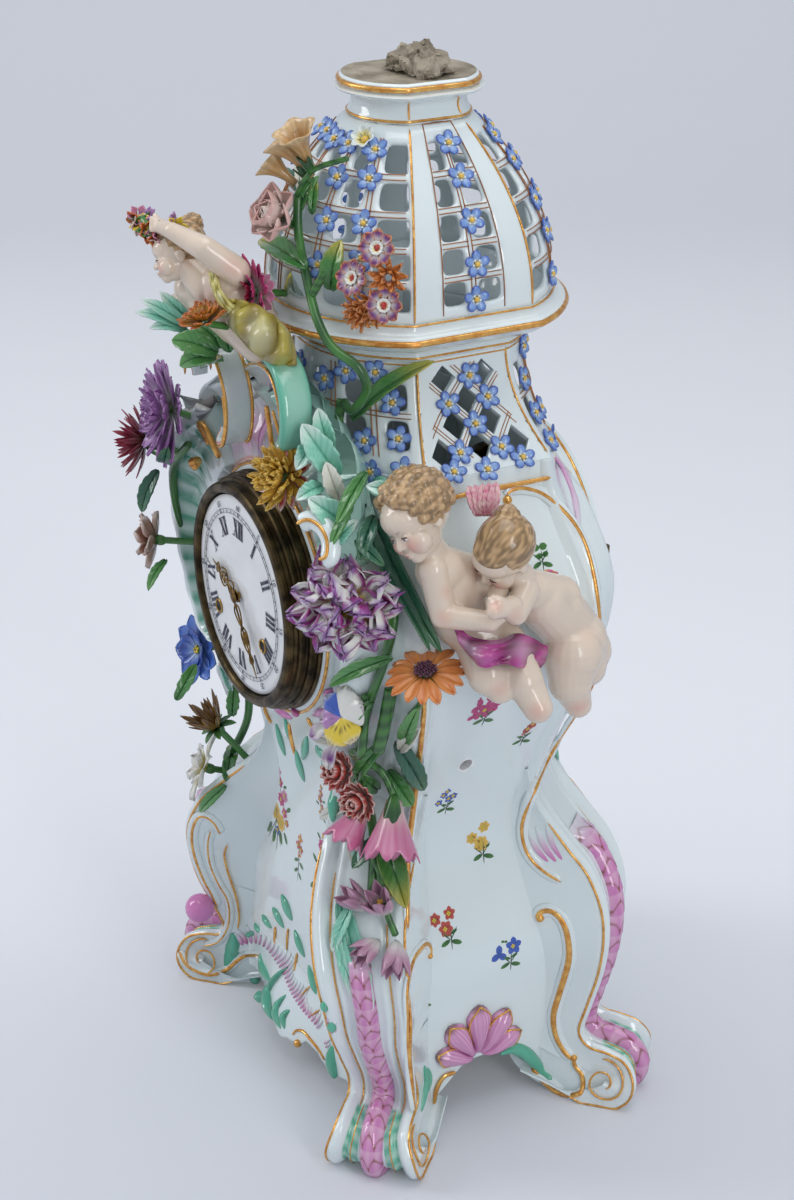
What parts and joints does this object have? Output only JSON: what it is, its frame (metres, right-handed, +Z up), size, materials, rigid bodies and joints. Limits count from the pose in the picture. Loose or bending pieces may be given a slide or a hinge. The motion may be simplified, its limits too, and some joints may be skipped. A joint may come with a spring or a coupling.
{
  "type": "porcelain table clock",
  "caption": "Free-standing rococo table clock: waisted porcelain case on scroll feet, pierced dome, applied flowers and figures, round enamel dial with key-wound pendulum movement.",
  "frame": {"origin": "on the ground, under the middle of the whole outline; the vertical axis of the dome and feet stands 5.7 mm to its left and 12 mm behind it", "axes": "+Z up; the dial faces -Y; +X is the side of the case with the seated children"},
  "size_m": [0.2409, 0.1955, 0.4909],
  "materials": {
    "porcelain": "white glazed porcelain with gilt lines",
    "bare_clay": "unglazed, broken clay",
    "pink_enamel": "glazed porcelain painted pink",
    "pale_pink_enamel": "glazed porcelain painted pale pink",
    "sea_green_enamel": "glazed porcelain painted sea green",
    "flesh_enamel": "glazed porcelain in skin tones",
    "olive_enamel": "glazed porcelain painted olive",
    "leaf_enamel": "glazed porcelain painted leaf green",
    "purple_enamel": "glazed porcelain painted purple and white",
    "crimson_enamel": "glazed porcelain painted crimson",
    "brown_enamel": "glazed porcelain painted brown",
    "blue_enamel": "glazed porcelain painted blue",
    "yellow_enamel": "glazed porcelain painted yellow",
    "orange_enamel": "glazed porcelain painted orange",
    "red_enamel": "glazed porcelain painted red",
    "dial_enamel": "white enamel on metal, glossy",
    "bronzed_brass": "dark patinated brass",
    "gilt_brass": "pierced and gilt, aged",
    "brass": "plain brass, lightly polished",
    "bell_metal": "pale bell metal",
    "steel": "plain steel"
  },
  "bodies": {
    "case": {"case_body": "porcelain", "pierced_neck": "porcelain", "pierced_dome": "porcelain", "leg_front_right": "porcelain", "leg_rear_right": "porcelain", "leg_rear_left": "porcelain", "leg_front_left": "porcelain", "crest_shell": "porcelain", "crest_scroll_white": "porcelain", "finial_stub": "bare_clay", "side_shell_right": "pink_enamel", "side_shell_left": "pink_enamel", "putti_drape": "pink_enamel", "crest_scroll_leaf": "sea_green_enamel", "dial_shell_left": "sea_green_enamel", "nymph": "flesh_enamel", "putto_boy": "flesh_enamel", "putto_girl": "flesh_enamel", "nymph_drape": "olive_enamel", "right_vine": "leaf_enamel", "left_vine": "leaf_enamel", "dome_vine": "leaf_enamel", "dahlia_flower": "purple_enamel", "aster_flower": "crimson_enamel", "left_brown_flower": "brown_enamel", "blue_flower": "blue_enamel", "left_lower_flower": "brown_enamel", "lily_flower": "porcelain", "chrysanthemum_flower": "yellow_enamel", "carnation_flower": "purple_enamel", "daisy_flower": "orange_enamel", "pansy_flower": "yellow_enamel", "red_double_flower": "red_enamel", "bell_flower": "pink_enamel", "tulip_flower": "purple_enamel", "lower_tulip_flower": "purple_enamel", "trumpet_flower": "brown_enamel", "rose_flower": "pale_pink_enamel", "pink_aster_flower": "crimson_enamel", "auricula_flower": "brown_enamel", "bezel_ring": "bronzed_brass", "dial": "dial_enamel", "front_plate": "brass", "back_plate": "brass", "strike_bell": "bell_metal", "case_strap_left": "brass", "case_strap_right": "brass", "rear_ring": "brass", "rear_hinge_pin": "steel"},
    "minute_work": {"minute_hand": "gilt_brass", "centre_wheel": "brass"},
    "hour_work": {"hour_hand": "gilt_brass"},
    "third_arbor": {"third_wheel": "brass"},
    "escape_arbor": {"escape_wheel": "brass"},
    "left_barrel": {"winding_barrel_left": "brass"},
    "right_barrel": {"winding_barrel_right": "brass"},
    "anchor": {"pallet_anchor": "steel"},
    "pendulum": {"pendulum": "brass"},
    "hammer": {"strike_hammer": "steel"},
    "cover": {"rear_cover": "brass"}
  },
  "joints": [
    {"name": "minute_turn", "type": "hinge", "parent": "case", "child": "minute_work", "pos_m": [-0.0057, -0.0745, 0.2566], "axis": [0, 1, 0], "continuous": true},
    {"name": "hour_turn", "type": "hinge", "parent": "case", "child": "hour_work", "pos_m": [-0.0057, -0.073, 0.2566], "axis": [0, 1, 0], "continuous": true},
    {"name": "third_turn", "type": "hinge", "parent": "case", "child": "third_arbor", "pos_m": [-0.01507, -0.05, 0.27284], "axis": [0, 1, 0], "continuous": true},
    {"name": "escape_turn", "type": "hinge", "parent": "case", "child": "escape_arbor", "pos_m": [-0.00215, -0.04, 0.28369], "axis": [0, 1, 0], "continuous": true},
    {"name": "left_winding_turn", "type": "hinge", "parent": "case", "child": "left_barrel", "pos_m": [-0.0292, -0.054, 0.2416], "axis": [0, 1, 0], "continuous": true},
    {"name": "right_winding_turn", "type": "hinge", "parent": "case", "child": "right_barrel", "pos_m": [0.0178, -0.054, 0.2416], "axis": [0, 1, 0], "continuous": true},
    {"name": "pendulum_swing", "type": "hinge", "parent": "case", "child": "pendulum", "pos_m": [-0.0057, -0.0245, 0.2931], "axis": [0, 1, 0], "range_deg": [-4, 4]},
    {"name": "anchor_rock", "type": "hinge", "parent": "case", "child": "anchor", "pos_m": [-0.0057, -0.038, 0.2931], "axis": [0, 1, 0], "range_deg": [-4, 4]},
    {"name": "hammer_lift", "type": "hinge", "parent": "case", "child": "hammer", "pos_m": [-0.0357, -0.022, 0.2326], "axis": [0, -1, 0], "range_deg": [0, 20]},
    {"name": "cover_open", "type": "hinge", "parent": "case", "child": "cover", "pos_m": [0.0458, 0.0859, 0.2566], "axis": [0, 0, -1], "range_deg": [0, 105]}
  ],
  "couplings": [
    {"joint": "hour_turn", "follows": "minute_turn", "ratio": 0.083333},
    {"joint": "third_turn", "follows": "minute_turn", "ratio": -4},
    {"joint": "escape_turn", "follows": "minute_turn", "ratio": 16},
    {"joint": "anchor_rock", "follows": "pendulum_swing", "ratio": 1}
  ]
}
